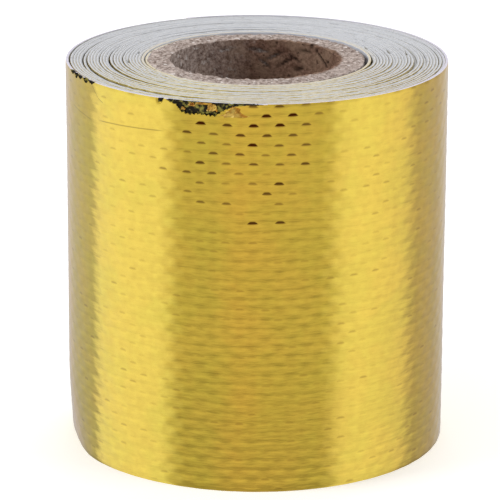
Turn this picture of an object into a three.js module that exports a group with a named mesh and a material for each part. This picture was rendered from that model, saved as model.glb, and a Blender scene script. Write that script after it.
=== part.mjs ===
// Roll of gold-faced aluminium foil tape with a glass cloth back, wound on a cardboard core and stood
// on its end. Millimetres, +Z up along the roll's axis, origin at the centre of the lower end.
import * as THREE from "three";

// Tape
const TAPE_WIDTH = 50; // along the roll's axis
const TAPE_THICKNESS = 0.41; // foil, glass cloth, adhesive and the slack between two turns
const TURN_COUNT = 25; // turns from the core out to the gold face
const TURNS_PER_BUNCH = 3; // turns that lie level with each other, up to the next sunk one
const SUNK_TURN_DEPTH = 0.4; // how far the turn between two bunches sits below them
const RIM_BEVEL = 0.25; // softened edge of the outermost turn

// Core
const CORE_DIAMETER = 27.8; // outside
const CORE_WALL = 3.2;
const CORE_RECESS = 0.4; // the core's upper end lies this far below the tape's
const CORE_EDGE_ROUND = 0.5; // worn edges of the soft board
const WINDING_CLEARANCE = 0.3; // radial, between the core and the first turn

// Facets
const ROUND_SEGMENTS = 60; // round the roll
const EDGE_STEPS = 3; // across a rounded edge

// A closed profile of radius and height, anticlockwise, turned about the roll's axis.
function turnedSolid(profile) {
  const geometry = new THREE.LatheGeometry([...profile, profile[0]], ROUND_SEGMENTS);
  geometry.rotateX(Math.PI / 2); // a lathe turns about Y, the roll stands along Z
  return geometry;
}

// One end of the wound tape, from the bore outwards: radius, and depth below the end's plane.
// After each bunch of level turns, one turn sits lower and shows as a groove.
function woundEnd(boreRadius, rollRadius) {
  const line = [[boreRadius, 0]];
  for (let turn = TURNS_PER_BUNCH; turn + 2 < TURN_COUNT; turn += TURNS_PER_BUNCH) {
    const inner = boreRadius + turn * TAPE_THICKNESS;
    line.push([inner, 0]);
    line.push([inner + TAPE_THICKNESS / 2, SUNK_TURN_DEPTH]);
    line.push([inner + TAPE_THICKNESS, 0]);
  }
  line.push([rollRadius - RIM_BEVEL, 0]);
  line.push([rollRadius, RIM_BEVEL]);
  return line;
}

// The whole winding is one turned solid: its lower end, the gold face, its upper end and the bore.
function tapeRollGeometry() {
  const boreRadius = CORE_DIAMETER / 2 + WINDING_CLEARANCE;
  const rollRadius = boreRadius + TURN_COUNT * TAPE_THICKNESS;
  const end = woundEnd(boreRadius, rollRadius);
  const lower = end.map(([radius, depth]) => new THREE.Vector2(radius, depth));
  const upper = end.map(([radius, depth]) => new THREE.Vector2(radius, TAPE_WIDTH - depth));
  return turnedSolid([...lower, ...upper.reverse()]);
}

// A quarter round edge of the core's wall, from one angle in degrees to 90 degrees further on.
function roundedEdge(radius, height, fromDegrees) {
  const points = [];
  for (let step = 0; step <= EDGE_STEPS; step++) {
    const angle = THREE.MathUtils.degToRad(fromDegrees + (90 * step) / EDGE_STEPS);
    const point = new THREE.Vector2(Math.cos(angle), Math.sin(angle));
    points.push(point.multiplyScalar(CORE_EDGE_ROUND).add(new THREE.Vector2(radius, height)));
  }
  return points;
}

// A plain tube of board, standing level with the tape below and a little short of it above.
function coreGeometry() {
  const inner = CORE_DIAMETER / 2 - CORE_WALL + CORE_EDGE_ROUND;
  const outer = CORE_DIAMETER / 2 - CORE_EDGE_ROUND;
  const low = CORE_EDGE_ROUND;
  const high = TAPE_WIDTH - CORE_RECESS - CORE_EDGE_ROUND;
  return turnedSolid([
    ...roundedEdge(outer, low, -90),
    ...roundedEdge(outer, high, 0),
    ...roundedEdge(inner, high, 90),
    ...roundedEdge(inner, low, 180),
  ]);
}

const goldFoil = new THREE.MeshStandardMaterial({ color: "#c8ab3c", roughness: 0.22, metalness: 1 });
const kraftBoard = new THREE.MeshStandardMaterial({ color: "#a08c7c", roughness: 0.9, metalness: 0 });

function namedMesh(name, geometry, material) {
  const mesh = new THREE.Mesh(geometry, material);
  mesh.name = name;
  return mesh;
}

const roll = new THREE.Group();
roll.add(namedMesh("tape_roll", tapeRollGeometry(), goldFoil));
roll.add(namedMesh("cardboard_core", coreGeometry(), kraftBoard));

export default roll;
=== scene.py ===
import bmesh
import bpy
import numpy as np
from mathutils import Matrix, Vector, noise


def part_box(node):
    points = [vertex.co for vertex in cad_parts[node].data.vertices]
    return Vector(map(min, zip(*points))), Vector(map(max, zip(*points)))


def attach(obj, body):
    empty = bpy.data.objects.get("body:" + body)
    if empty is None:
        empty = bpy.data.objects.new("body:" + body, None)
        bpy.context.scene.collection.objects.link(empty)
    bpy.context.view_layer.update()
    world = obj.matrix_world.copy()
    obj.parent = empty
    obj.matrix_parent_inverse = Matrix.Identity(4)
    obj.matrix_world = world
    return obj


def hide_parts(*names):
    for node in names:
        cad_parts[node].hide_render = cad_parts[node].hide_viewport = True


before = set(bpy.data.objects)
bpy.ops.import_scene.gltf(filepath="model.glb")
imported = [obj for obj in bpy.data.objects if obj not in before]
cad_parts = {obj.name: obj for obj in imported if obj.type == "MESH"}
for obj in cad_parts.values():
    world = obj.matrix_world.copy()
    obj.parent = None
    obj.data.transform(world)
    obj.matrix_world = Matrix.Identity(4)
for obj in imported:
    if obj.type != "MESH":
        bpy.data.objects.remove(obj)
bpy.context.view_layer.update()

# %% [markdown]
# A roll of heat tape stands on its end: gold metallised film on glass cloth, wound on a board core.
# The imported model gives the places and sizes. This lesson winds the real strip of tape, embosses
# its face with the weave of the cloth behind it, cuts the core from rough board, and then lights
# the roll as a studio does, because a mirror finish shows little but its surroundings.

MM = 0.001
TOUCH = 1e-7  # metres, places closer than this are the same
roll_low, roll_high = (Vector(corner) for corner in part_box("tape_roll"))
core_low, core_high = (Vector(corner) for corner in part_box("cardboard_core"))
ROLL_RADIUS = (roll_high.x - roll_low.x) / 2
TAPE_WIDTH = roll_high.z - roll_low.z
CORE_RADIUS = (core_high.x - core_low.x) / 2
CORE_TOP = core_high.z
CORE_WALL = 3.2 * MM
TURNS = 25
PITCH = (ROLL_RADIUS - CORE_RADIUS - 0.3 * MM) / TURNS  # from one turn to the next
print(f"roll {2 * ROLL_RADIUS / MM:.1f} mm across, tape {TAPE_WIDTH / MM:.1f} mm wide, "
      f"{TURNS} turns {PITCH / MM:.2f} mm apart")

# %% [markdown]
# The camera comes first, because every choice after it is judged through it. The photograph was
# taken from about 17 degrees above the table with a long lens, which keeps the sides of the roll
# nearly parallel. The small shift puts the roll where the photograph has it in the picture.

# %% Camera
VIEW_ELEVATION = np.radians(16.87)
VIEW_DISTANCE = 17.2 * ROLL_RADIUS
LENS_TILT = np.radians(0.277)  # the camera was held a little askew
PICTURE_SIDE = 500
FOCAL_PIXELS = 3232
OBJECT_RIGHT_PIXELS = 6.2  # from the picture's centre to the roll's
OBJECT_UP_PIXELS = 5.8

lens = bpy.data.cameras.new("studio_camera")
lens.sensor_width = 36
lens.lens = FOCAL_PIXELS / PICTURE_SIDE * lens.sensor_width
lens.shift_x = -OBJECT_RIGHT_PIXELS / PICTURE_SIDE
lens.shift_y = -OBJECT_UP_PIXELS / PICTURE_SIDE
lens.clip_start = 0.01
camera = bpy.data.objects.new("studio_camera", lens)
bpy.context.scene.collection.objects.link(camera)
back = Vector((0, -np.cos(VIEW_ELEVATION), np.sin(VIEW_ELEVATION)))
middle = Vector((0, 0, TAPE_WIDTH / 2))
camera.matrix_world = (Matrix.Translation(middle + back * VIEW_DISTANCE)
                       @ Matrix.Rotation(np.pi / 2 - VIEW_ELEVATION, 4, "X")
                       @ Matrix.Rotation(LENS_TILT, 4, "Z"))
bpy.context.scene.camera = camera
print(f"camera {VIEW_DISTANCE / MM:.0f} mm away with a {lens.lens:.0f} mm lens")


# %% Small helpers for modelling
def start_fresh():
    """Leaves edit mode and deselects everything, so that the next operator acts on its own piece."""
    if bpy.context.object and bpy.context.object.mode != "OBJECT":
        bpy.ops.object.mode_set(mode="OBJECT")
    bpy.ops.object.select_all(action="DESELECT")


def name_piece(name):
    """Names the object that was just added, and its mesh."""
    piece = bpy.context.object
    piece.name = name
    piece.data.name = name
    return piece


def pick(kind, test):
    """In edit mode, selects just the vertices, edges or faces whose middle passes the test."""
    bpy.ops.mesh.select_mode(type=kind)
    bpy.ops.mesh.select_all(action="DESELECT")
    shape = bmesh.from_edit_mesh(bpy.context.object.data)
    for part in {"VERT": shape.verts, "EDGE": shape.edges, "FACE": shape.faces}[kind]:
        if kind == "VERT":
            middle_point = part.co
        elif kind == "EDGE":
            middle_point = (part.verts[0].co + part.verts[1].co) / 2
        else:
            middle_point = part.calc_center_median()
        if test(middle_point):
            part.select_set(True)
    shape.select_flush_mode()
    bmesh.update_edit_mesh(bpy.context.object.data)


def points_of(piece):
    """The piece's vertex positions as one array of rows x, y, z."""
    rows = np.empty(len(piece.data.vertices) * 3)
    piece.data.vertices.foreach_get("co", rows)
    return rows.reshape(-1, 3)


def put_points(piece, rows):
    """Writes the vertex positions back."""
    piece.data.vertices.foreach_set("co", rows.ravel())
    piece.data.update()


def wander(samples, knots, rng):
    """A smooth random line between 0 and 1: random heights joined by easy curves."""
    heights = rng.random(knots + 2)
    place = np.linspace(0, knots, samples, endpoint=False)
    left = place.astype(int)
    ease = place - left
    ease = ease * ease * (3 - 2 * ease)
    return heights[left] * (1 - ease) + heights[left + 1] * ease


# %% [markdown]
# The real tape is slit flat and then wound, so the mesh is made the same way. How the turns lie
# is settled first: each turn has its own gap to the next, tight nearly everywhere and open here
# and there, and its edge stands a little above or below its neighbours'. Bearings are in degrees
# round the roll, 0 towards the camera and 90 to its right.

# %% How the turns lie
PITS = (  # bearing, radius in mm and depth in mm of the small dark pits between the cut edges
    (112.0, 15.3, 0.5), (104.0, 17.3, 0.35), (99.0, 19.3, 0.35), (125.0, 16.9, 0.35),
    (139.0, 18.7, 0.25), (152.0, 22.3, 0.3), (-100.0, 15.5, 0.4), (128.0, 20.1, 0.25),
    (-84.0, 16.6, 0.3),
)
PIT_HALF_WIDTH = 1.9  # degrees
TAIL_BEARING = 200.0  # where the loose end of the tape lies, behind the roll
TAPE_THICKNESS = 0.37 * MM
STEPS = 144  # round one turn
WOUND_TURNS = TURNS - 1  # the outermost turn is a piece of its own, with a finer surface
CLOSED_SHARE = 0.925  # of the pitch, where two turns touch
CORE_CLEARANCE = 0.04 * MM
PINCH = 78, 26, 0.36 * MM  # bearing, half width, and how far the second turn stands off the first
BULGES = ((-82, 20, 0.1 * MM), (-90, 80, -0.15 * MM))  # the same for the whole winding
EDGE_SINK, EDGE_SWAY, EDGE_DIP = 0.04, 0.10, 0.4  # mm below the upper end: always, slowly, and rarely
LOW_SINK, LOW_SWAY = 0.03, 0.2  # mm above the lower end
EDGE_JITTER, LOW_JITTER = 0.018, 0.02  # mm, from step to step
rng = np.random.default_rng(11)


def bearing_gap(bearing, at, half_width):
    """1 at a bearing, falling smoothly to 0 at half a width to either side."""
    away = np.abs((bearing - at + 180) % 360 - 180) / half_width
    return np.where(away < 1, np.cos(np.minimum(away, 1) * np.pi / 2) ** 2, 0)


def face_radius(share):
    """Radius of the gold face along the last turn, which climbs over its own start."""
    climb = np.clip(share / 0.2, 0, 1)
    return ROLL_RADIUS - PITCH * (1 - climb * climb * (3 - 2 * climb))


def lay_turns():
    """Radius and edge heights of the tape's middle, for each step from the core outwards."""
    total = WOUND_TURNS * STEPS
    bearing = TAIL_BEARING + 360 * np.arange(STEPS) / STEPS
    looseness = wander(total + STEPS, (WOUND_TURNS + 1) * 4, rng) ** 5
    looseness = looseness / looseness.mean()
    spacing = CLOSED_SHARE + (1 - CLOSED_SHARE) * looseness.reshape(WOUND_TURNS + 1, STEPS)
    pinch = PINCH[2] * bearing_gap(bearing, *PINCH[:2])
    inner = CORE_RADIUS + TAPE_THICKNESS / 2 + CORE_CLEARANCE + pinch
    for at, half_width, out in BULGES:
        inner = inner + out * bearing_gap(bearing, at, half_width)
    inner = inner + PITCH * np.arange(STEPS) / STEPS
    outer = face_radius(np.arange(STEPS) / STEPS) - TAPE_THICKNESS / 2
    climb = np.cumsum(spacing[:-1], axis=0) - spacing[0]
    share = climb / (climb[-1] + spacing[-1])
    radius = inner + (outer - inner) * share
    radius[0] = radius[0] - pinch  # the first turn hugs the core
    radius = radius.ravel()
    padded = np.concatenate([np.full(4, radius[0]), radius, np.full(4, radius[-1])])
    radius = np.convolve(padded, np.ones(9) / 9, mode="valid")  # each place takes the mean of nine
    knots = WOUND_TURNS * 3
    high = -EDGE_SINK - EDGE_SWAY * wander(total, knots, rng)
    high = high - EDGE_DIP * wander(total, knots, rng) ** 9
    low = LOW_SINK + LOW_SWAY * wander(total, knots, rng)
    high = high + EDGE_JITTER * rng.standard_normal(total)
    for at, pit_radius, deep in PITS:
        near = np.abs((np.tile(bearing, WOUND_TURNS) - at + 180) % 360 - 180) < PIT_HALF_WIDTH
        high = high - deep * (near & (np.abs(radius - pit_radius * MM) < 0.6 * PITCH))
    low = low + LOW_JITTER * np.abs(rng.standard_normal(total))
    return radius, TAPE_WIDTH + high * MM, low * MM


turn_radius, edge_high, edge_low = lay_turns()
print(f"{WOUND_TURNS} turns laid from {turn_radius[0] / MM:.2f} to {turn_radius[-1] / MM:.2f} mm")


# %% [markdown]
# A flat grid, one cell wide and thousands of cells long, is extruded to the thickness of the tape,
# and its two cut edges are bevelled. Rolling it up is a change of place for each vertex: the
# distance along the tape becomes a bearing, and the thickness points outwards.

# %% The wound strip
MEAN_TURN = 2 * np.pi * (ROLL_RADIUS + CORE_RADIUS) / 2
STRIP_LENGTH = WOUND_TURNS * MEAN_TURN
CUT_BEVEL = 0.05 * MM


def flat_tape(name, length, columns, rows):
    """A flat length of tape: x along it, y across it, the gold side up at z = 0."""
    start_fresh()
    bpy.ops.mesh.primitive_grid_add(x_subdivisions=columns, y_subdivisions=rows, size=1)
    tape = name_piece(name)
    bpy.ops.object.mode_set(mode="EDIT")
    bpy.ops.mesh.select_all(action="SELECT")
    bpy.ops.transform.resize(value=(length, TAPE_WIDTH, 1))
    bpy.ops.transform.translate(value=(length / 2, TAPE_WIDTH / 2, 0))
    return tape


wound = flat_tape("wound_turns", STRIP_LENGTH, WOUND_TURNS * STEPS, 1)
bpy.ops.mesh.extrude_region_move(TRANSFORM_OT_translate={"value": (0, 0, -TAPE_THICKNESS)})
bpy.ops.mesh.select_all(action="SELECT")
bpy.ops.mesh.normals_make_consistent(inside=False)
pick("EDGE", lambda p: abs(p.y - TAPE_WIDTH / 2) > TAPE_WIDTH / 2 - TOUCH
     and min(abs(p.z), abs(p.z + TAPE_THICKNESS)) < TOUCH)
bpy.ops.mesh.bevel(offset=CUT_BEVEL, segments=1)
bpy.ops.object.mode_set(mode="OBJECT")
print(len(wound.data.polygons), "faces in the flat strip")


# %% [markdown]
# The lower left corner of the roll is crushed. The push inwards is one smooth function of the
# place in the roll, and the wound strip and the outer turn share it, so they stay together. A
# lattice would do it too, but it would bend the far side a little as well.

# %% Rolling it up
CRUSH_DEPTH = 0.66 * MM
CRUSH_HEIGHT = 9.5 * MM
CRUSH_REACH = 5 * MM  # into the winding
CRUSH_BEARING = -79
CRUSH_HALF_WIDTH = 24


def damage_in(bearing, height, radius):
    """How far the crushed lower corner is pushed towards the axis, at this place in the roll."""
    low = np.clip(1 - height / CRUSH_HEIGHT, 0, 1) ** 1.6
    depth = np.clip(1 - (ROLL_RADIUS - radius) / CRUSH_REACH, 0, 1)
    return CRUSH_DEPTH * bearing_gap(bearing, CRUSH_BEARING, CRUSH_HALF_WIDTH) * low * depth


def on_roll(bearing, radius, height):
    """Rows x, y, z for a bearing in degrees, a radius and a height."""
    angle = np.radians(bearing)
    return np.stack([radius * np.sin(angle), -radius * np.cos(angle), height], axis=1)


def through_tape(piece, share):
    """Depth into the tape, 0 at the gold film and 1 at the adhesive, kept as an attribute."""
    layer = piece.data.attributes.new("through", "FLOAT", "POINT")
    layer.data.foreach_set("value", share.astype(np.float32))


def wind_strip(piece):
    rows = points_of(piece)
    through_tape(piece, -rows[:, 2] / TAPE_THICKNESS)
    step = np.clip(np.rint(rows[:, 0] / MEAN_TURN * STEPS).astype(int), 0, len(turn_radius) - 1)
    bearing = TAIL_BEARING + 360 * rows[:, 0] / MEAN_TURN
    share = rows[:, 1] / TAPE_WIDTH
    height = edge_low[step] * (1 - share) + (edge_high[step] - TAPE_WIDTH) * share + rows[:, 1]
    radius = turn_radius[step] + rows[:, 2] + TAPE_THICKNESS / 2
    radius = radius - damage_in(bearing, height, radius)
    put_points(piece, on_roll(bearing, radius, height))


wind_strip(wound)
print("wound to", [round(v / MM, 1) for v in wound.dimensions])


# %% [markdown]
# The outermost turn is what the eye sees: a mirror film pressed onto plain-woven glass cloth, so
# that each crossing of two yarns stands a few hundredths of a millimetre proud. Its grid has four
# cells to an upright yarn and five to a level one. The cloth's weft runs round the roll in rows; a
# float of weft over one warp yarn makes a bump, and the next row's bumps lie half a repeat along.
# Real cloth is never even, so a noise sways both counts a little.

# %% The cloth's spacing
WARP_PITCH = 1.625 * MM  # from one upright yarn to the next, round the roll
WEFT_PITCH = 1.235 * MM  # from one level row to the next
FIRST_ROW_DEPTH = 1.4 * MM  # the highest groove between two rows, below the rim
FLOAT_BEARING = -1.0  # a float of the second row lies at this bearing
CELLS_ACROSS_YARN = 4
CELLS_DOWN_YARN = 5
WARP_SWAY = 0.20  # of a yarn
WEFT_SWAY = 0.13
FACE_TURN = 363 / 360  # the last turn, with a little more to cover its own start
FACE_LENGTH = FACE_TURN * 2 * np.pi * ROLL_RADIUS
FACE_COLUMNS = round(FACE_LENGTH / WARP_PITCH * CELLS_ACROSS_YARN)
FACE_ROWS = round(TAPE_WIDTH / WEFT_PITCH * CELLS_DOWN_YARN)


def cloud_at(bearing, height, long_mm, tall_mm, seed):
    """A soft noise from -1 to 1 on the rolled-out surface, in blotches of that size in mm."""
    along = np.radians(bearing) * ROLL_RADIUS / MM / long_mm
    up = height / MM / tall_mm
    return np.array([noise.noise(Vector((a, u, seed))) for a, u in zip(along, up)])


def yarn_counts(bearing, height):
    """Warp yarns round the roll from a float of the second row, and rows below the highest groove."""
    across = np.radians(bearing - 360 - FLOAT_BEARING) * ROLL_RADIUS / WARP_PITCH + 1
    down = (TAPE_WIDTH - height - FIRST_ROW_DEPTH) / WEFT_PITCH
    across = across + WARP_SWAY * cloud_at(bearing, height, 9, 1.9, 3.1)
    down = down + WEFT_SWAY * cloud_at(bearing, height, 6.5, 4, 8.7)
    return across, down


# %% [markdown]
# Under the front rim the tape is torn: the film and the top of the cloth are gone in a ragged
# strip. The grid is cut finer there and at the nicks, before it is wound, so that the torn outline
# is sharp. Depths are below the rim.

# %% Where the tape is torn
TORN_EDGE = (  # bearing in degrees and depth in mm of the torn strip's lower edge
    (-27.0, 0.0), (-25.6, 0.3), (-23.6, 0.55), (-22.4, 1.25), (-21.0, 1.45), (-19.3, 1.56),
    (-16.8, 1.42), (-14.6, 1.52), (-12.0, 1.60), (-10.6, 1.15), (-9.1, 0.76), (-7.4, 0.50),
    (-5.8, 0.29), (-3.0, 0.14), (1.0, 0.10), (3.7, 0.0),
)
NICKS = (  # bearing, half width and depth of the small notches in the rim
    (-71.3, 2.2, 0.35), (-67.6, 1.6, 0.55), (-64.6, 1.7, 0.40), (-60.6, 1.9, 0.50),
    (-57.2, 1.8, 0.35), (-28.6, 0.9, 0.62),
)
TORN_LIP = 0.08  # mm, over which the tear deepens from its edge
TEAR_LOW = 2.0 * MM
FINE_ZONES = (  # from and to bearing, depth below the rim, and how many cuts each cell gets
    (-28.5, 4.5, TEAR_LOW, 4), (-74.0, -54.0, 0.9 * MM, 3),
)


def torn_share(bearing, height):
    """1 where the tape is torn or nicked, 0 where it is whole."""
    turned = (bearing + 180) % 360 - 180
    depth = (TAPE_WIDTH - height) / MM
    edge = np.interp(turned, *zip(*TORN_EDGE), left=0, right=0)
    edge = edge * (1 + 0.06 * np.sin(turned * 5.1) + 0.03 * np.sin(turned * 11.7))
    for at, half_width, deep in NICKS:
        edge = np.maximum(edge, deep * bearing_gap(turned, at, half_width) ** 0.7)
    return np.clip((edge - depth) / TORN_LIP, 0, 1)


# %% The gold face, laid flat
def along_tape(bearing):
    """Distance along the flat outer turn at which this bearing comes to lie."""
    return (bearing - TAIL_BEARING + 360) % 360 / 360 / FACE_TURN * FACE_LENGTH


face = flat_tape("outer_turn", FACE_LENGTH, FACE_COLUMNS, FACE_ROWS)
for first, last, low, cuts in FINE_ZONES:
    pick("FACE", lambda p: along_tape(first) < p.x < along_tape(last) and p.y > TAPE_WIDTH - low)
    bpy.ops.mesh.subdivide(number_cuts=cuts)
pick("EDGE", lambda p: abs(p.y - TAPE_WIDTH / 2) > TAPE_WIDTH / 2 - TOUCH)
bpy.ops.mesh.extrude_edges_move(TRANSFORM_OT_translate={"value": (0, 0, -TAPE_THICKNESS)})
pick("EDGE", lambda p: p.z < -0.9 * TAPE_THICKNESS)
bpy.ops.mesh.bridge_edge_loops()
for end in (0, FACE_LENGTH):
    pick("EDGE", lambda p: abs(p.x - end) < TOUCH)
    bpy.ops.mesh.edge_face_add()
bpy.ops.mesh.select_all(action="SELECT")
bpy.ops.mesh.normals_make_consistent(inside=False)
bpy.ops.object.mode_set(mode="OBJECT")
print(FACE_COLUMNS, "by", FACE_ROWS, "cells,", len(face.data.polygons), "faces")


# %% [markdown]
# The relief of the face is added as it is wound: the weave, a few shallow hollows left by fingers,
# the torn place and the nicks, and the crushed lower corner.

# %% Painted shade of the dashes over the floats
SHADE_DASHES = {  # row below the highest groove: {warp yarn from the middle: how strong the painted shade of its dash is}
    -1: {-1: 0.3, 1: 0.5, 3: 0.5, 5: 0.35, 7: 0.2},
    0: {0: 0.8, 2: 1.0, 4: 0.95, 6: 0.3},
    1: {-3: 1.0, -1: 0.7, 1: 1.0, 3: 0.95, 5: 0.5},
    2: {-4: 0.6, -2: 0.4, 0: 0.7, 2: 0.65, 4: 0.5},
    3: {-3: 0.4, -1: 0.3, 1: 0.95, 3: 0.45, 5: 0.45},
    4: {-4: 0.2, -2: 0.5, 0: 0.5, 2: 0.3, 4: 0.45},
    5: {-3: 0.65, -1: 0.35, 1: 0.5, 3: 0.4, 5: 0.6},
    6: {-6: 0.3, -4: 0.45, -2: 0.45, 0: 0.25},
    7: {-3: 0.35, 1: 0.3, 3: 0.75},
    8: {-4: 0.3, 2: 0.6},
    9: {-3: 0.4, -1: 0.4, 3: 0.3},
    11: {1: 0.8, 3: 0.7},
    14: {-3: 0.5, 5: 0.4},
    15: {2: 0.55, 4: 0.3},
}
CHANCE_GRID = 60, 400  # rows and warp yarns that have a random faint dash of painted shade elsewhere
FIRST_ROW, FIRST_YARN = -5, -200
FAINT_DASH_SHADE = 0.17

# %% Relief of the face
FLOAT_HEIGHT = 0.017 * MM
ROW_HEIGHT = 0.012 * MM
RIM_ROUND = 0.06 * MM
HOLLOW_DEPTH = 0.05 * MM
TEAR_DEPTH = 0.30 * MM
RIM_HEIGHT = 0.2 * MM  # over which the rim is rounded
STANDS_PROUD = 0.03 * MM  # at most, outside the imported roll


def weave_relief(across, down, strength):
    """Rounded rows of weft with a float over every other warp yarn."""
    floats = np.cos(np.pi * across) * np.sin(np.pi * down)
    return strength * (FLOAT_HEIGHT * floats + ROW_HEIGHT * (np.abs(np.sin(np.pi * down)) - 0.6))


def map_yarns(piece, across, down):
    """A UV map of the piece in yarns: warp yarns round the roll, weft rows down from the rim."""
    layer = piece.data.uv_layers.active or piece.data.uv_layers.new()
    layer.name = "yarns"
    corner = np.empty(len(piece.data.loops), dtype=int)
    piece.data.loops.foreach_get("vertex_index", corner)
    layer.data.foreach_set("uv", np.stack([across, down], axis=1)[corner].ravel())


def paint_dash_shade(piece, across, down):
    """How strong the painted shade of the dash over each float is, 0 to 1, kept on the mesh as an
    attribute.
    """
    row = np.rint(down).astype(int)
    float_at = (2 * np.rint((across + row) / 2) - row).astype(int)
    chance = np.random.default_rng(23)
    strength = chance.random(CHANCE_GRID) ** 3 * FAINT_DASH_SHADE
    dash_shade_strength = strength[np.clip(row - FIRST_ROW, 0, CHANCE_GRID[0] - 1),
                    np.clip(float_at - FIRST_YARN, 0, CHANCE_GRID[1] - 1)]
    for slit_row, places in SHADE_DASHES.items():
        for at, value in places.items():
            dash_shade_strength[(row == slit_row) & (float_at == at)] = value
    layer = piece.data.attributes.new("dash_shade_strength", "FLOAT", "POINT")
    layer.data.foreach_set("value", dash_shade_strength.astype(np.float32))


def wind_face(piece):
    rows = points_of(piece)
    bearing = TAIL_BEARING + 360 * FACE_TURN * rows[:, 0] / FACE_LENGTH
    height = rows[:, 1]
    radius = face_radius(rows[:, 0] / FACE_LENGTH * FACE_TURN) + rows[:, 2]
    on_face = (rows[:, 2] > -TAPE_THICKNESS / 2).astype(float)
    across, down = yarn_counts(bearing, height)
    strength = 1 + 0.45 * cloud_at(bearing, height, 3.2, 1.4, 5.5)
    relief = weave_relief(across, down, strength)
    relief = relief + HOLLOW_DEPTH * cloud_at(bearing, height, 16, 17, 4.2)
    uneven = 0.85 + 0.35 * cloud_at(bearing, height, 0.8, 0.5, 1.3)
    relief = relief - TEAR_DEPTH * torn_share(bearing, height) * uneven
    rim = np.clip(1 - np.minimum(height, TAPE_WIDTH - height) / RIM_HEIGHT, 0, 1)
    radius = radius + on_face * (relief - RIM_ROUND * rim)
    radius = np.minimum(radius, ROLL_RADIUS + STANDS_PROUD)
    radius = radius - damage_in(bearing, height, radius)
    put_points(piece, on_roll(bearing, radius, height))
    map_yarns(piece, across, down)
    paint_dash_shade(piece, across, down)
    through_tape(piece, -rows[:, 2] / TAPE_THICKNESS)


wind_face(face)
print("outer turn", [round(v / MM, 2) for v in face.dimensions])


# %% [markdown]
# Scraps of the torn film still hang in the torn place: a fold along the rim, two crumpled scraps
# and a flap that stands up like a tent. Each starts as a small grid, is crumpled and shaped by
# moving its vertices, gets a thin wall, and is set on the roll by bearing and depth.

# %% Scraps of torn film
SCRAP_WALL = 0.05 * MM
SCRAPS = (  # bearing, depth of the middle, width, height, bulge, share left at the top, stand-off
    ("rim_fold", -15.2, 0.16, 2.2, 0.26, 0.10, 0.9, -0.10),
    ("crumpled_scrap", -12.9, 0.60, 1.5, 0.85, 0.16, 0.6, -0.12),
    ("small_scrap", -19.0, 0.36, 1.0, 0.40, 0.14, 0.6, -0.14),
    ("left_scrap", -21.6, 0.95, 0.7, 0.35, 0.10, 0.4, -0.14),
    ("tent_flap", -6.4, 0.98, 4.1, 1.25, 0.30, 0.04, -0.03),
)
scrap_rng = np.random.default_rng(5)


def make_scrap(name, bearing, depth, width, height, bulge, top_share, stand_off):
    start_fresh()
    bpy.ops.mesh.primitive_grid_add(x_subdivisions=9, y_subdivisions=5, size=1)
    scrap = name_piece(name)
    rows = points_of(scrap)
    along, up = rows[:, 0], rows[:, 1]
    ragged = 0.10 * scrap_rng.standard_normal((len(rows), 2))
    narrow = 1 - (1 - top_share) * (up + 0.5)
    east = MM * width * (along * narrow + ragged[:, 0] * 0.4)
    rise = MM * height * (up + ragged[:, 1] * 0.8)
    out = MM * (bulge * (0.5 - np.abs(along)) * 2 + 0.05 * scrap_rng.standard_normal(len(rows)))
    radius = ROLL_RADIUS + stand_off * MM + out
    turned = bearing + np.degrees(east / ROLL_RADIUS)
    level = np.minimum(TAPE_WIDTH - depth * MM + rise, TAPE_WIDTH - 0.01 * MM)
    put_points(scrap, on_roll(turned, radius, level))
    wall = scrap.modifiers.new("wall", "SOLIDIFY")
    wall.thickness = SCRAP_WALL
    bpy.ops.object.modifier_apply(modifier=wall.name)
    return scrap


scraps = [make_scrap(*values) for values in SCRAPS]
start_fresh()
for scrap in scraps:
    scrap.select_set(True)
bpy.context.view_layer.objects.active = scraps[0]
bpy.ops.object.join()
torn_scraps = name_piece("torn_scraps")
bpy.ops.object.mode_set(mode="EDIT")
bpy.ops.mesh.select_all(action="SELECT")
bpy.ops.mesh.normals_make_consistent(inside=False)
bpy.ops.object.mode_set(mode="OBJECT")
print(len(SCRAPS), "scraps of film,", len(torn_scraps.data.polygons), "faces")


# %% [markdown]
# The core is a tube of grey board, wound from strips in a spiral and sawn to length. The saw
# leaves a furred rim. It starts as a circle, is extruded up in rings that crowd towards the rim,
# gets its wall from a Solidify modifier, and its soft edges from vertex moves along a noise.

# %% The core
CORE_STEPS = 288
COARSE_RINGS = (0.3, 1.2, 12, 24, 33, 38, 40)
CORE_RINGS = COARSE_RINGS + tuple(np.arange(41, 49.4, 0.3))

start_fresh()
bpy.ops.mesh.primitive_circle_add(vertices=CORE_STEPS, radius=CORE_RADIUS,
                                  location=(0, 0, core_low.z))
core = name_piece("board_core")
bpy.ops.object.mode_set(mode="EDIT")
bpy.ops.mesh.select_all(action="SELECT")
ring_low = core_low.z
for ring in [height * MM for height in CORE_RINGS] + [CORE_TOP]:
    bpy.ops.mesh.extrude_edges_move(TRANSFORM_OT_translate={"value": (0, 0, ring - ring_low)})
    ring_low = ring
bpy.ops.mesh.select_all(action="SELECT")
bpy.ops.mesh.normals_make_consistent(inside=False)
bpy.ops.object.mode_set(mode="OBJECT")
bpy.ops.object.transform_apply(location=True, rotation=True, scale=True)
wall = core.modifiers.new("wall", "SOLIDIFY")
wall.thickness = CORE_WALL
wall.offset = -1
bpy.ops.object.modifier_apply(modifier=wall.name)
bpy.ops.object.mode_set(mode="EDIT")
RIM_CUTS = 7
pick("EDGE", lambda p: abs(p.z - CORE_TOP) < 10 * TOUCH
     and CORE_RADIUS - CORE_WALL * 0.9 < p.to_2d().length < CORE_RADIUS - CORE_WALL * 0.1)
bpy.ops.mesh.subdivide(number_cuts=RIM_CUTS)
bpy.ops.object.mode_set(mode="OBJECT")
print(len(core.data.polygons), "faces in the core")


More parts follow.
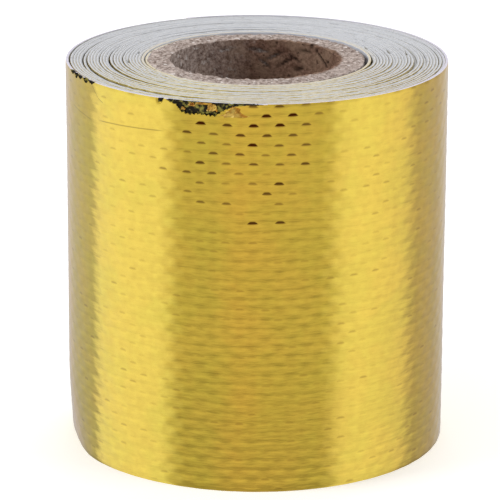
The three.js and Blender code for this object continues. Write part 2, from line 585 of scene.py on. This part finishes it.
# %% The core's rough rim and spiral seam
SEAM_PITCH = 49 * MM  # rise of the inner ply's seam in one turn
SEAM_BEARING = 134.0  # where it meets the rim
GOUGES = (  # bearing, mm below the rim, half width in degrees, half height in mm, mm down a degree
    (176, 1.3, 9, 0.28, -0.03), (165, 1.9, 8, 0.32, 0.10), (157, 2.6, 7, 0.30, 0.12),
    (172, 3.0, 5, 0.30, -0.12), (150, 2.0, 6, 0.25, -0.08), (146, 3.3, 5, 0.35, 0.05),
    (200, 1.0, 7, 0.22, 0.02), (142, 0.9, 8, 0.2, 0.01), (215, 2.2, 4, 0.25, 0.10),
    (240, 3.0, 4, 0.25, -0.10), (118, 1.5, 5, 0.2, 0.06),
)
SEAM_HALF_WIDTH = 2.4  # degrees
GROOVE_IN_WALL = 0.22  # mm, of the seam and the gouges
FUR_HEIGHT, RIM_WAVE = 0.17, 0.12  # mm, up at the rim: the furred cut and its slow wave
FUR_REACH, WALL_WAVE = 0.16, 0.05  # mm, into the bore
INNER_WEAR, OUTER_WEAR = 0.08, 0.06  # mm, off the rim's two edges
CORE_OFF_CENTRE = 0.18  # mm, the core sits a little to the left in the winding
BORE_OFF_CENTRE = 0.27  # mm, and its bore further still: the wall is thicker on the right
CORE_PROUD = 0.24  # mm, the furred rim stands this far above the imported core


def roughen_core(piece):
    rows = points_of(piece)
    radius = np.hypot(rows[:, 0], rows[:, 1])
    bearing = np.degrees(np.arctan2(rows[:, 0], -rows[:, 1]))
    top = np.clip(1 - (CORE_TOP - rows[:, 2]) / (1.2 * MM), 0, 1)
    inner = np.clip(1 - (radius - (CORE_RADIUS - CORE_WALL)) / (0.7 * MM), 0, 1)
    outer = np.clip(1 - (CORE_RADIUS - radius) / (0.5 * MM), 0, 1)
    fine = np.array([noise.noise(Vector(p) / (0.55 * MM)) for p in rows])
    broad = np.array([noise.noise(Vector(p) / (2.6 * MM)) for p in rows])
    rows[:, 2] -= top ** 3 * MM * (INNER_WEAR * inner ** 2 + OUTER_WEAR * outer ** 2 - CORE_PROUD
                                   + FUR_HEIGHT * fine + RIM_WAVE * broad)
    seam = SEAM_BEARING + 360 * (rows[:, 2] - CORE_TOP) / SEAM_PITCH
    groove = bearing_gap(bearing, seam, SEAM_HALF_WIDTH) * inner
    for at, deep, half_width, half_height, slope in GOUGES:
        away = (bearing - at + 180) % 360 - 180
        level = (CORE_TOP - rows[:, 2]) / MM - deep - slope * away
        reach = np.clip(1 - (away / half_width) ** 2, 0, 1)
        reach = reach * np.clip(1 - (level / half_height) ** 2, 0, 1)
        groove = np.maximum(groove, reach * inner)
    # the groove mask is kept for the board's painted shade in the seam and the gouges
    layer = piece.data.attributes.new("groove_shade", "FLOAT", "POINT")
    layer.data.foreach_set("value", groove.astype(np.float32))
    radius = radius + MM * (FUR_REACH * inner * top * fine + GROOVE_IN_WALL * groove
                            + WALL_WAVE * inner * broad)
    aside = MM * (CORE_OFF_CENTRE + BORE_OFF_CENTRE * inner)
    rows[:, 0] = radius * np.sin(np.radians(bearing)) - aside
    rows[:, 1] = -radius * np.cos(np.radians(bearing))
    put_points(piece, rows)


roughen_core(core)
print("core", [round(v / MM, 2) for v in core.dimensions])


# %% [markdown]
# Materials are built from nodes. One function turns a hex colour as a painter's program shows it
# into the linear light that a shader works in, one sets a node's sockets and one adds a node. The
# node editor does the same by hand, but a written list of nodes can be read and changed at once.

# %% Helpers for materials
COLOUR_RESULT = 2  # which output of a Mix node holds the mixed colour


def linear(hex_colour):
    """A colour such as "#C8AB3C" as linear red, green, blue and an alpha of 1."""
    parts = [int(hex_colour[i:i + 2], 16) / 255 for i in (1, 3, 5)]
    return [p / 12.92 if p <= 0.04045 else ((p + 0.055) / 1.055) ** 2.4 for p in parts] + [1]


def plug(tree, node, **inputs):
    """Sets a node's sockets, each to a value, a socket or another node, whose result it takes."""
    for key, value in inputs.items():
        socket = node.inputs[int(key[1:]) if key[1:].isdigit() else key.replace("_", " ")]
        if isinstance(value, bpy.types.Node):
            value = value.outputs[COLOUR_RESULT if value.bl_idname == "ShaderNodeMix" else 0]
        if isinstance(value, bpy.types.NodeSocket):
            tree.links.new(value, socket)
        else:
            socket.default_value = value


def add_node(tree, kind, settings=None, **inputs):
    """A shader node of that kind. settings are its properties, inputs its sockets."""
    node = tree.nodes.new("ShaderNode" + kind)
    for key, value in (settings or {}).items():
        setattr(node, key, value)
    plug(tree, node, **inputs)
    return node


# settings that many nodes share
COLOURS = {"data_type": "RGBA"}  # a mix of i6 and i7 by the share i0
SMOOTH = {"interpolation_type": "SMOOTHSTEP"}
TIMES = {"operation": "MULTIPLY"}
TIMES_PLUS = {"operation": "MULTIPLY_ADD"}  # i0 times i1, plus i2


def new_material(name):
    """An empty node material, its tree and its surface shader."""
    material = bpy.data.materials.new(name)
    material.use_nodes = True
    tree = material.node_tree
    tree.nodes.clear()
    shader = add_node(tree, "BsdfPrincipled")
    add_node(tree, "OutputMaterial", Surface=shader)
    return material, tree, shader


def dress(piece, *materials):
    """Gives a piece its materials in order."""
    piece.data.materials.clear()
    for material in materials:
        piece.data.materials.append(material)


# %% [markdown]
# The face is aluminised polyester film under a clear gold lacquer: a metal with a low roughness
# and a clear coat, so that the studio shows in it as bands, and its steep sides go pale. The weave
# breaks those bands up. Its grooves are finer than the mesh can hold, so a bump in yarn units adds
# them. Over the groove above each float a dark dash with a brown halo is painted in: painted shade,
# strong under the front rim and faint elsewhere, over a small real dip where the lacquer is left off.

# %% Gold film on the cloth
GROOVE_DEPTH = 0.007  # mm, of the groove between two rows
CRUMPLE_HEIGHT = 0.015  # mm, of the film's fine crumple
DASH_DIP = 0.008  # mm
COAT_WEIGHT = 0.8  # of the lacquer, none in a dash
ARCH_HEIGHT = 0.13  # of a row, and as much again where the dash's painted shade is strongest
ARCH_SINK, DASH_FLOOR = -0.06, 0.10  # of a row
CREASE_WIDTH = 0.12 * MM
CREASE_SHADE_LINES = (  # from and to, each a bearing and a depth below the rim in mm, and how dark the painted shade is
    ((-53.6, 4.6), (-27.2, 4.05), 0.6), ((-56.7, 0.4), (-53.5, 1.8), 0.5),
    ((-53.5, 1.8), (-51.0, 2.2), 0.5), ((-71.0, 4.2), (-57.0, 4.9), 0.35),
)


def gold_film():
    material, tree, shader = new_material("gold_aluminised_film")
    yarns = add_node(tree, "UVMap", {"uv_map": "yarns"})
    counts = add_node(tree, "SeparateXYZ", i0=yarns)
    across, down = counts.outputs[0], counts.outputs[1]
    row = add_node(tree, "Math", {"operation": "ROUND"}, i0=down)
    from_groove = add_node(tree, "Math", {"operation": "SUBTRACT"}, i0=down, i1=row)
    stagger = add_node(tree, "Math", {"operation": "ADD"}, i0=across, i1=row)
    turned = add_node(tree, "Math", TIMES, i0=stagger, i1=np.pi)
    float_wave = add_node(tree, "Math", {"operation": "COSINE"}, i0=turned)

    # a dash of painted shade lies along the groove over each float, flat below and arched above, with
    # a halo of painted brown shade round it
    place = add_node(tree, "TexCoord").outputs["Object"]
    dash_shade_strength = add_node(tree, "Attribute", {"attribute_name": "dash_shade_strength"}).outputs["Fac"]
    hump = add_node(tree, "MapRange", SMOOTH, Value=float_wave, From_Min=0.15, From_Max=1.0)
    reach = add_node(tree, "Math", TIMES_PLUS, i0=dash_shade_strength, i1=ARCH_HEIGHT, i2=ARCH_HEIGHT)
    arch = add_node(tree, "Math", TIMES_PLUS, i0=hump, i1=reach, i2=ARCH_SINK)
    above = add_node(tree, "Math", {"operation": "ADD"}, i0=from_groove, i1=arch)
    below = add_node(tree, "Math", {"operation": "SUBTRACT"}, i0=DASH_FLOOR, i1=from_groove)
    inside = add_node(tree, "Math", {"operation": "MINIMUM"}, i0=above, i1=below)
    painted_shade_dash = add_node(tree, "MapRange", SMOOTH, Value=inside, From_Min=0.0, From_Max=0.07)
    shade_halo = add_node(tree, "MapRange", SMOOTH, Value=inside, From_Min=-0.12, From_Max=0.04,
                    To_Max=0.6)
    wide = add_node(tree, "MapRange", Value=dash_shade_strength, From_Min=0.35, From_Max=0.9)
    faint = add_node(tree, "MapRange", Value=dash_shade_strength, From_Min=0.0, From_Max=0.5)
    stain_and_dash_shade = add_node(tree, "Math", TIMES, i0=painted_shade_dash, i1=faint)
    painted_shade_dash = add_node(tree, "Math", TIMES, i0=painted_shade_dash, i1=wide)
    shade_halo = add_node(tree, "Math", TIMES, i0=shade_halo, i1=hump)
    dimmed = add_node(tree, "Math", TIMES_PLUS, i0=dash_shade_strength, i1=2.0, i2=0.22)
    shade = add_node(tree, "Math", {"operation": "MULTIPLY", "use_clamp": True}, i0=shade_halo, i1=dimmed)
    shade_halo = add_node(tree, "Math", TIMES, i0=shade_halo, i1=dash_shade_strength)

    # the lacquer is uneven: warmer and greener patches some millimetres wide, finer mottling in them
    patches = add_node(tree, "TexNoise", Vector=place, Scale=170.0, Detail=2.0)
    warm = add_node(tree, "MapRange", SMOOTH, Value=patches, From_Min=0.40, From_Max=0.62)
    colour = add_node(tree, "Mix", COLOURS, i0=warm, i6=linear("#F3D852"), i7=linear("#F9D854"))
    mottle = add_node(tree, "TexNoise", Vector=place, Scale=900.0, Detail=3.0)
    dull = add_node(tree, "MapRange", Value=mottle, From_Min=0.35, From_Max=0.75, To_Max=0.30)
    # the first tint is the lacquer's own mottling; the other four are painted shade at the dashes
    # over the floats: the halo, the faint dashes and the dark dashes
    for amount, tint in ((dull, "#CFA83A"), (shade, "#B89A2C"), (shade_halo, "#9A6A20"), (stain_and_dash_shade, "#94741E"),
                         (painted_shade_dash, "#4A1C06")):
        colour = add_node(tree, "Mix", COLOURS, i0=amount, i6=colour, i7=linear(tint))
    sheen = add_node(tree, "MapRange", Value=mottle, To_Min=0.04, To_Max=0.09)
    plug(tree, shader, Roughness=sheen, Metallic=1.0)
    coat = add_node(tree, "Math", TIMES_PLUS, i0=painted_shade_dash, i1=-COAT_WEIGHT, i2=COAT_WEIGHT)
    plug(tree, shader, Coat_Weight=coat, Coat_Roughness=0.1)

    # creases in the film, in the colour only: thin lines of painted shade from one bearing and depth
    # below the rim to another
    spot = add_node(tree, "SeparateXYZ", i0=place)
    facing = add_node(tree, "Math", TIMES, i0=spot.outputs[1], i1=-1.0)
    bearing = add_node(tree, "Math", {"operation": "ARCTAN2"}, i0=spot.outputs[0], i1=facing)
    for (from_bearing, from_depth), (to_bearing, to_depth), strength in CREASE_SHADE_LINES:
        line = add_node(tree, "MapRange", Value=bearing, From_Min=np.radians(from_bearing),
                        From_Max=np.radians(to_bearing), To_Min=TAPE_WIDTH - from_depth * MM,
                        To_Max=TAPE_WIDTH - to_depth * MM)
        within = add_node(tree, "MapRange", Value=bearing, From_Min=np.radians(from_bearing),
                          From_Max=np.radians(to_bearing), To_Min=-1.0, To_Max=1.0)
        ends = add_node(tree, "Math", {"operation": "ABSOLUTE"}, i0=within)
        ends = add_node(tree, "MapRange", Value=ends, From_Min=1.0, From_Max=0.8, To_Max=strength)
        off = add_node(tree, "Math", {"operation": "SUBTRACT"}, i0=spot.outputs[2], i1=line)
        off = add_node(tree, "Math", {"operation": "ABSOLUTE"}, i0=off)
        thin = add_node(tree, "MapRange", SMOOTH, Value=off, From_Min=CREASE_WIDTH,
                        From_Max=CREASE_WIDTH / 4)
        crease_shade = add_node(tree, "Math", TIMES, i0=thin, i1=ends)
        colour = add_node(tree, "Mix", COLOURS, i0=crease_shade, i6=colour, i7=linear("#8C7420"))
    plug(tree, shader, Base_Color=colour)

    # heights in millimetres: a groove between rows, a dip at each dash, and the film's fine crumple,
    # which runs along the rows because the weft holds it up
    side = add_node(tree, "Math", {"operation": "ABSOLUTE"}, i0=from_groove)
    groove = add_node(tree, "MapRange", SMOOTH, Value=side, From_Min=0.0, From_Max=0.3,
                      To_Min=-GROOVE_DEPTH, To_Max=0.0)
    shallow = add_node(tree, "Math", TIMES_PLUS, i0=float_wave, i1=0.45, i2=0.55)
    groove = add_node(tree, "Math", TIMES, i0=groove, i1=shallow)
    dip = add_node(tree, "Math", TIMES, i0=painted_shade_dash, i1=-DASH_DIP)
    flat = add_node(tree, "Mapping", Vector=yarns, Scale=(0.75, 2.6, 1.0))
    streaks = add_node(tree, "TexNoise", {"noise_dimensions": "2D"}, Vector=flat, Scale=1.0,
                       Detail=2.0, Roughness=0.5)
    crumple = add_node(tree, "Math", TIMES, i0=streaks, i1=CRUMPLE_HEIGHT)
    relief = add_node(tree, "Math", {"operation": "ADD"}, i0=groove, i1=dip)
    relief = add_node(tree, "Math", {"operation": "ADD"}, i0=relief, i1=crumple)
    bump = add_node(tree, "Bump", Height=relief, Distance=MM, Strength=1.0)
    plug(tree, shader, Normal=bump, Coat_Normal=bump)
    return material


# %% [markdown]
# The film also shows on the inner turns, between their edges, and on the torn scraps, where it is
# creased and stained by the adhesive. That is a plainer metal with a coarse crumple and no weave.
# The torn place itself shows the cloth, soaked dark with adhesive, with a few glints of film left.
# The same dark cloth in the nicks is painted shade.

# %% Creased film and torn cloth
def creased_film(name, dark, light):
    material, tree, shader = new_material(name)
    place = add_node(tree, "TexCoord").outputs["Object"]
    stain_and_dash_shade = add_node(tree, "TexNoise", Vector=place, Scale=1500.0, Detail=3.0)
    share = add_node(tree, "MapRange", Value=stain_and_dash_shade, From_Min=0.35, From_Max=0.65)
    colour = add_node(tree, "Mix", COLOURS, i0=share, i6=linear(dark), i7=linear(light))
    plug(tree, shader, Base_Color=colour, Metallic=1.0, Roughness=0.28, Coat_Weight=0.6,
         Coat_Roughness=0.15)
    creases = add_node(tree, "TexVoronoi", {"feature": "DISTANCE_TO_EDGE"}, Vector=place,
                       Scale=1800.0)
    bump = add_node(tree, "Bump", Height=creases, Distance=0.05 * MM, Strength=1.0)
    plug(tree, shader, Normal=bump)
    return material


def torn_cloth():
    material, tree, shader = new_material("torn_cloth_in_adhesive")
    place = add_node(tree, "TexCoord").outputs["Object"]
    shreds = add_node(tree, "TexNoise", Vector=place, Scale=2000.0, Detail=4.0)
    glint = add_node(tree, "MapRange", SMOOTH, Value=shreds, From_Min=0.50, From_Max=0.66)
    colour = add_node(tree, "Mix", COLOURS, i0=glint, i6=linear("#18140A"), i7=linear("#8A8238"))
    plug(tree, shader, Base_Color=colour, Roughness=0.5, Specular_IOR_Level=0.2)
    bump = add_node(tree, "Bump", Height=shreds, Distance=0.1 * MM, Strength=1.0)
    plug(tree, shader, Normal=bump)
    return material


# %% [markdown]
# The cut edge of each turn is bare glass cloth in its adhesive, a pale bluish grey and a little
# dusty. The outermost edges are cleaner and the innermost are stained cream by the board. The side
# that lies on the turn below is the adhesive. The core is grey board made from waste paper: pale
# and furred where it is cut, brown inside.

# %% Glass cloth, adhesive and board
def reach_from_axis(tree, place):
    """Distance from the roll's axis, as a socket."""
    spot = add_node(tree, "SeparateXYZ", i0=place)
    flat = add_node(tree, "CombineXYZ", i0=spot.outputs[0], i1=spot.outputs[1])
    return add_node(tree, "VectorMath", {"operation": "LENGTH"}, i0=flat).outputs["Value"]


def glass_cloth_edge():
    material, tree, shader = new_material("cut_glass_cloth")
    place = add_node(tree, "TexCoord").outputs["Object"]
    fibres = add_node(tree, "TexNoise", Vector=place, Scale=3800.0, Detail=3.0)
    dust = add_node(tree, "TexNoise", Vector=place, Scale=900.0, Detail=4.0)
    reach = reach_from_axis(tree, place)
    clean = add_node(tree, "MapRange", SMOOTH, Value=reach, From_Min=ROLL_RADIUS - 0.75 * MM,
                     From_Max=ROLL_RADIUS - 0.45 * MM, To_Max=0.8)
    cream = add_node(tree, "MapRange", SMOOTH, Value=reach, From_Min=CORE_RADIUS + 1.3 * MM,
                     From_Max=CORE_RADIUS + 0.4 * MM, To_Max=0.75)
    through = add_node(tree, "Attribute", {"attribute_name": "through"}).outputs["Fac"]
    inward = add_node(tree, "MapRange", SMOOTH, Value=through, From_Min=0.15, From_Max=0.9)
    pale = add_node(tree, "Mix", COLOURS, i0=fibres, i6=linear("#C0C3C8"), i7=linear("#F6F7FA"))
    dirty = add_node(tree, "MapRange", SMOOTH, Value=dust, From_Min=0.60, From_Max=0.78, To_Max=0.7)
    for amount, tint in ((inward, "#B4B5B4"), (clean, "#E2DDEA"), (cream, "#E4D6B4"),
                         (dirty, "#8D8A84")):
        pale = add_node(tree, "Mix", COLOURS, i0=amount, i6=pale, i7=linear(tint))
    plug(tree, shader, Base_Color=pale, Roughness=0.75)
    bump = add_node(tree, "Bump", Height=fibres, Distance=0.05 * MM, Strength=0.8)
    plug(tree, shader, Normal=bump)
    return material


def adhesive_back():
    material, tree, shader = new_material("acrylic_adhesive")
    place = add_node(tree, "TexCoord").outputs["Object"]
    cloud = add_node(tree, "TexNoise", Vector=place, Scale=700.0, Detail=2.0)
    colour = add_node(tree, "Mix", COLOURS, i0=cloud, i6=linear("#C2C6CE"), i7=linear("#E0E3EA"))
    plug(tree, shader, Base_Color=colour, Roughness=0.45)
    return material


def grey_board():
    material, tree, shader = new_material("grey_board")
    place = add_node(tree, "TexCoord").outputs["Object"]
    wall_share = add_node(tree, "MapRange", Value=reach_from_axis(tree, place),
                          From_Min=CORE_RADIUS - CORE_WALL, From_Max=CORE_RADIUS - CORE_WALL * 0.85)
    fibres = add_node(tree, "TexNoise", Vector=place, Scale=2200.0, Detail=5.0, Roughness=0.65)
    flecks = add_node(tree, "TexNoise", Vector=place, Scale=1500.0, Detail=2.0)
    blotch = add_node(tree, "TexNoise", Vector=place, Scale=380.0, Detail=3.0)
    furred = add_node(tree, "MapRange", Value=fibres, From_Min=0.34, From_Max=0.66)
    cut = add_node(tree, "Mix", COLOURS, i0=furred, i6=linear("#6E5C52"), i7=linear("#D8C8BE"))
    bright = add_node(tree, "MapRange", SMOOTH, Value=flecks, From_Min=0.60, From_Max=0.70,
                      To_Max=0.8)
    cut = add_node(tree, "Mix", COLOURS, i0=bright, i6=cut, i7=linear("#EDE6E0"))
    lining = add_node(tree, "Mix", COLOURS, i0=furred, i6=linear("#4E3428"), i7=linear("#8A6C5C"))
    worn = add_node(tree, "MapRange", Value=blotch, From_Min=0.4, From_Max=0.65, To_Max=0.5)
    scuffs = add_node(tree, "MapRange", SMOOTH, Value=flecks, From_Min=0.40, From_Max=0.30,
                      To_Max=0.7)
    groove_shade = add_node(tree, "Attribute", {"attribute_name": "groove_shade"}).outputs["Fac"]
    # the seam and the gouges in the bore are coloured nearly black: painted shade in these grooves
    for amount, tint in ((worn, "#A08670"), (scuffs, "#2E1C16"), (groove_shade, "#1E120E")):
        lining = add_node(tree, "Mix", COLOURS, i0=amount, i6=lining, i7=linear(tint))
    colour = add_node(tree, "Mix", COLOURS, i0=wall_share, i6=lining, i7=cut)
    plug(tree, shader, Base_Color=colour, Roughness=0.9, Specular_IOR_Level=0.08)
    bump = add_node(tree, "Bump", Height=fibres, Distance=0.16 * MM, Strength=1.0)
    plug(tree, shader, Normal=bump)
    return material


film = gold_film()
inner_film = creased_film("creased_gold_film", "#CDB65A", "#F2E09A")
stained_film = creased_film("stained_gold_film", "#C08A30", "#F0CF70")
cloth = glass_cloth_edge()
adhesive = adhesive_back()
torn = torn_cloth()
board = grey_board()
dress(wound, inner_film, cloth, adhesive, torn)
dress(face, film, cloth, adhesive, torn)
dress(torn_scraps, stained_film)
dress(core, board)


# %% [markdown]
# Each face of the tape gets its material by the way it looks: outwards is film, up and down is cut
# cloth, inwards is adhesive. Painting them by hand would take an hour and miss some. Steep faces
# just under the front rim are the walls of the tear.

# %% Which faces are film, cut cloth, adhesive or torn
FILM, CLOTH, ADHESIVE, TORN = range(4)  # the tape's material slots
RIM_LIP = 0.03 * MM  # so near the rim a level face is cut cloth, even in the tear


def sort_faces(piece):
    """Faces that look outwards are film or torn, those up or down cut cloth, the rest adhesive."""
    rows = np.array([part.center for part in piece.data.polygons])
    facing = np.array([part.normal for part in piece.data.polygons])
    reach = np.hypot(rows[:, 0], rows[:, 1])
    outwards = (facing[:, 0] * rows[:, 0] + facing[:, 1] * rows[:, 1]) / reach
    bearing = np.degrees(np.arctan2(rows[:, 0], -rows[:, 1]))
    outermost = reach > ROLL_RADIUS - PITCH
    at_rim = rows[:, 2] > TAPE_WIDTH - RIM_LIP
    near_rim = rows[:, 2] > TAPE_WIDTH - TEAR_LOW
    upright = np.abs(facing[:, 2])
    slot = np.where(outwards > 0, FILM, ADHESIVE)
    # the nicks take the dark torn cloth as well: painted shade in these small notches
    slot[(torn_share(bearing, rows[:, 2]) > 0.1) & outermost] = TORN
    slot[(upright > 0.6) & near_rim & ~at_rim & outermost] = TORN
    slot[(upright > 0.8) & ((slot != TORN) | at_rim)] = CLOTH
    piece.data.polygons.foreach_set("material_index", slot.astype(np.int32))


sort_faces(wound)
sort_faces(face)
for piece, angle in ((wound, 35), (face, 35), (core, 50)):
    start_fresh()
    piece.select_set(True)
    bpy.context.view_layer.objects.active = piece
    bpy.ops.object.shade_smooth_by_angle(angle=np.radians(angle))

# %% Riding and replacing
for piece in (wound, face, torn_scraps):
    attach(piece, "root")
    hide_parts("tape_roll")
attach(core, "root")
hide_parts("cardboard_core")

# %% [markdown]
# A mirror shows the room, so the room is painted for the mirror, as a ring of tones round the roll:
# two tall soft boxes make the bright bands, the dim room behind the camera makes the olive one, and
# the backdrop makes the pale sides. The lamps give the matt parts their light and the mirror doesn't
# see them. Nor does it see the floor, whose place the lower half of the ring takes.

# %% Floor
start_fresh()
bpy.ops.mesh.primitive_plane_add(size=6)
floor = name_piece("studio_floor")
floor.visible_glossy = False
floor.visible_shadow = False
floor_paint, floor_tree, floor_shader = new_material("matt_white_paper")
plug(floor_tree, floor_shader, Base_Color=linear("#F6F6F6"), Roughness=0.9,
     Emission_Color=linear("#FFFFFF"), Emission_Strength=0.34)  # the paper is lit to pure white
dress(floor, floor_paint)


# %% Lamps for the matt parts
def soft_box(name, bearing, elevation, distance, size, power):
    """A square soft box that faces the roll from a bearing and elevation in degrees."""
    light = bpy.data.lights.new(name, "AREA")
    light.size = size
    light.energy = power
    lamp = bpy.data.objects.new(name, light)
    bpy.context.scene.collection.objects.link(lamp)
    turn, rise = np.radians(bearing), np.radians(elevation)
    flat = np.cos(rise)
    lamp.location = distance * Vector((np.sin(turn) * flat, -np.cos(turn) * flat, np.sin(rise)))
    aim = middle - lamp.location
    lamp.rotation_euler = aim.to_track_quat("-Z", "Y").to_euler()
    lamp.visible_camera = False
    lamp.visible_glossy = False


soft_box("left_box", -75, 32, 1.0, 0.5, 4.4)
soft_box("right_box", 70, 32, 1.0, 0.5, 2.2)
soft_box("back_box", 165, 50, 1.1, 0.7, 3.0)

# %% Room
RING = (  # bearing in degrees, as the mirror sees it, and the tone there
    (-180, "#CFC5C0"), (-157, "#CDC5C1"), (-146, "#C2C0BE"), (-118, "#C3C4C4"), (-110, "#F4F6FA"),
    (-92, "#FCFDFF"), (-60, "#F8FAFB"), (-46, "#CAC5B1"), (-28, "#C8C4AF"), (-10, "#D2C4B0"),
    (8, "#CEC4AF"), (41, "#CAC5B0"), (54, "#F3F1EF"), (66, "#FAF8F5"), (82, "#F3F0EB"),
    (99, "#E8E3DD"), (113, "#BDB5B6"), (140, "#B9B1B1"), (157, "#C8C0BC"), (180, "#CBC3BE"),
)
RISE = (  # height of the direction, -1 straight down and 1 straight up, and the tone's share there
    (-1.0, 0.85), (-0.70, 0.75), (-0.45, 0.62), (-0.36, 0.86), (-0.29, 1.0), (-0.20, 1.10),
    (-0.08, 0.98), (0.08, 0.80), (0.3, 1.2), (1.0, 1.2),
)
TOP_SHARE = 1.2  # a ramp holds no more than 1, so the shares are divided by this and put back
ROOM_GREY = 0.50, 0.50, 0.52, 1  # what lights the matt parts from all round


def fill_ramp(node, stops):
    """Puts stops of place (0 to 1) and colour into a colour ramp."""
    ramp = node.color_ramp
    while len(ramp.elements) > 1:
        ramp.elements.remove(ramp.elements[-1])
    for number, (place, colour) in enumerate(stops):
        stop = ramp.elements[0] if number == 0 else ramp.elements.new(place)
        stop.position = place
        stop.color = colour


world = bpy.data.worlds.new("studio")
bpy.context.scene.world = world
world.use_nodes = True
room = world.node_tree
room.nodes.clear()
looking = add_node(room, "SeparateXYZ", i0=add_node(room, "TexCoord").outputs["Generated"])
towards = add_node(room, "Math", TIMES, i0=looking.outputs[1], i1=-1.0)
turn = add_node(room, "Math", {"operation": "ARCTAN2"}, i0=looking.outputs[0], i1=towards)
turn = add_node(room, "Math", TIMES_PLUS, i0=turn, i1=1 / (2 * np.pi), i2=0.5)
ring = add_node(room, "ValToRGB", Fac=turn)
fill_ramp(ring, [(bearing / 360 + 0.5, linear(tone)) for bearing, tone in RING])
rise = add_node(room, "Math", TIMES_PLUS, i0=looking.outputs[2], i1=0.5, i2=0.5)
share = add_node(room, "ValToRGB", Fac=rise)
fill_ramp(share, [(height / 2 + 0.5, (*[tone / TOP_SHARE] * 3, 1)) for height, tone in RISE])
sloped = add_node(room, "Mix", {"data_type": "RGBA", "blend_type": "MULTIPLY"}, i0=1.0, i6=ring,
                  i7=share)
sloped = add_node(room, "VectorMath", {"operation": "SCALE"}, i0=sloped, Scale=TOP_SHARE)
lit = add_node(room, "MapRange", Value=ring, From_Min=0.6, From_Max=0.95, To_Max=0.65)
mirror_room = add_node(room, "Mix", COLOURS, i0=lit, i6=sloped, i7=ring)
path = add_node(room, "LightPath")
tone = add_node(room, "Mix", COLOURS, i0=path.outputs["Is Glossy Ray"], i6=ROOM_GREY,
                i7=mirror_room)
tone = add_node(room, "Mix", COLOURS, i0=path.outputs["Is Camera Ray"], i6=tone, i7=(1, 1, 1, 1))
light_room = add_node(room, "Background", Color=tone, Strength=1.0)
add_node(room, "OutputWorld", Surface=light_room)
bpy.context.scene.view_settings.view_transform = "Standard"
